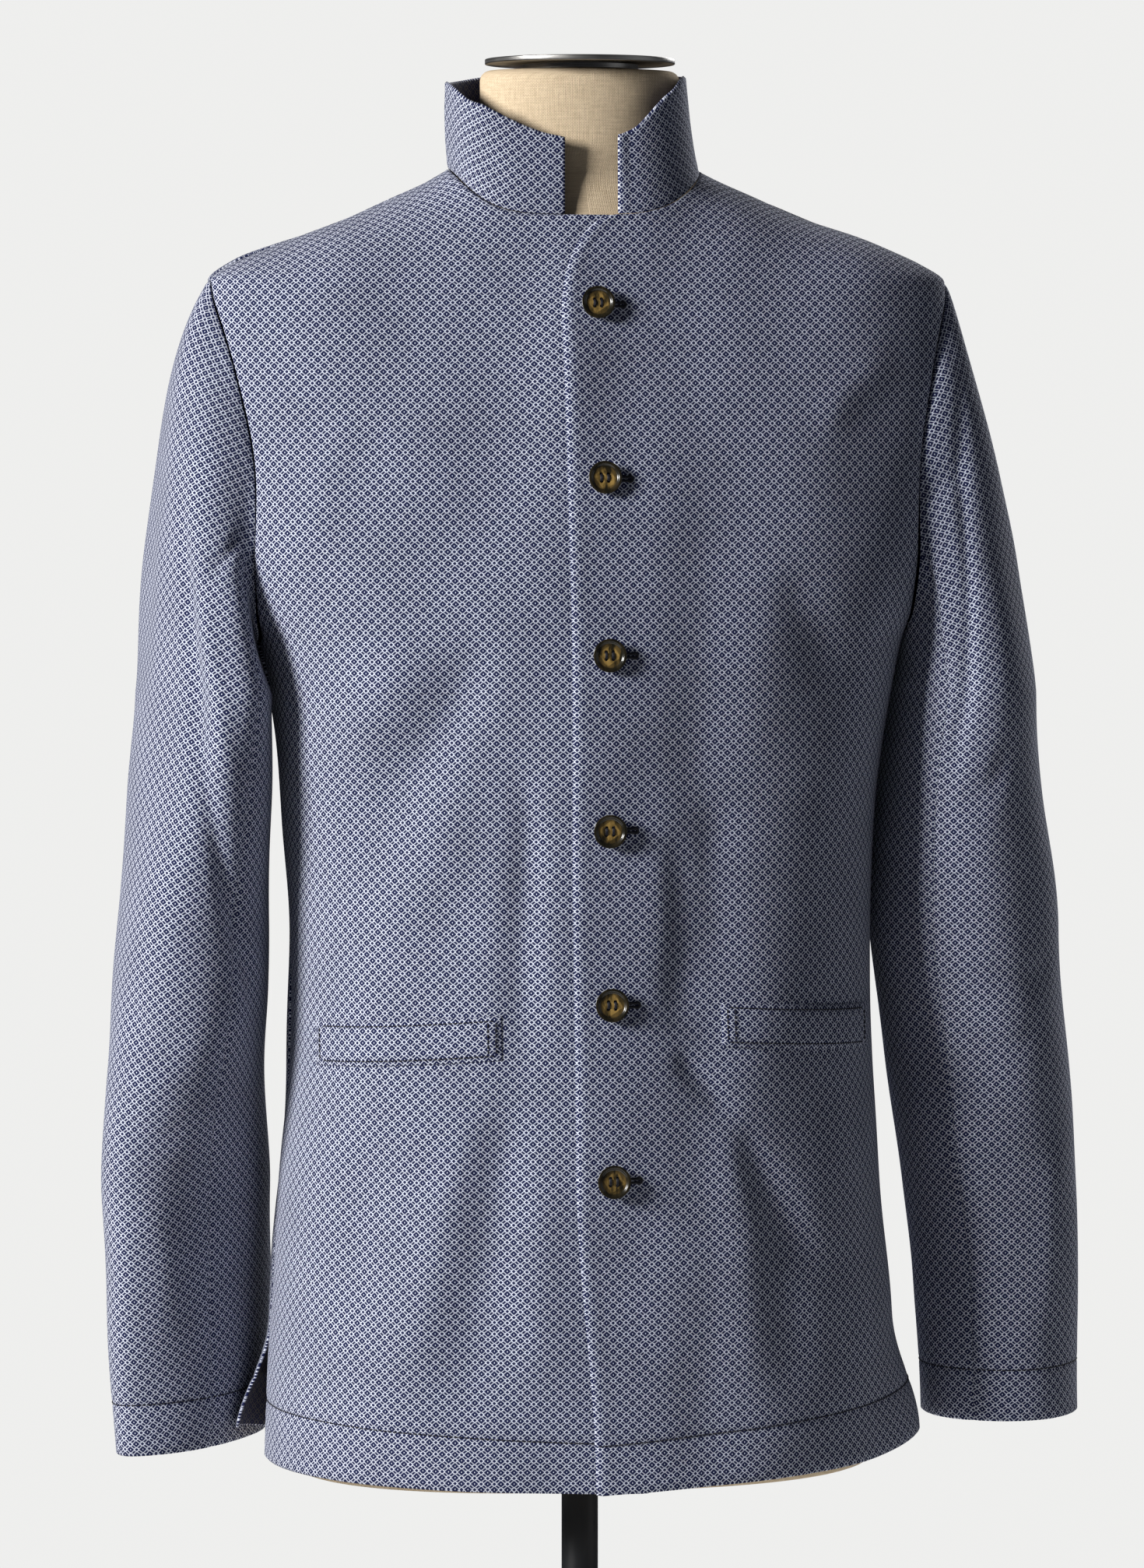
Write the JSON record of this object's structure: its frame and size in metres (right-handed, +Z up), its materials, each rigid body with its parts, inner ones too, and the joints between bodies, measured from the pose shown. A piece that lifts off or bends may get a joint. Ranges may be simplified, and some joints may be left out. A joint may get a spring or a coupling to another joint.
{
  "type": "stand-collar jacket on a dress form",
  "caption": "Buttoned stand-collar jacket with welt pockets, side vents and two-piece sleeves, on a limbless linen dress form with a pole and a round base.",
  "frame": {"origin": "middle of the base's underside, on the floor", "axes": "+Z up, the jacket's front faces -Y, +X is the wearer's left"},
  "size_m": [0.5865, 0.36, 1.5843],
  "materials": {
    "dobby_cloth": "navy and white diamond dobby weave, matt",
    "horn": "brown horn, polished",
    "linen": "natural linen canvas",
    "steel": "brushed",
    "black_paint": "satin black"
  },
  "bodies": {
    "root": {"front_right": "dobby_cloth", "front_left": "dobby_cloth", "back": "dobby_cloth", "collar": "dobby_cloth", "sleeve_top_right": "dobby_cloth", "sleeve_under_right": "dobby_cloth", "sleeve_top_left": "dobby_cloth", "sleeve_under_left": "dobby_cloth", "pocket_welt_right": "dobby_cloth", "pocket_welt_left": "dobby_cloth", "button_1": "horn", "button_2": "horn", "button_3": "horn", "button_4": "horn", "button_5": "horn", "button_6": "horn", "dress_form": "linen", "neck_cap": "steel", "pole": "black_paint", "base": "black_paint"}
  },
  "joints": []
}
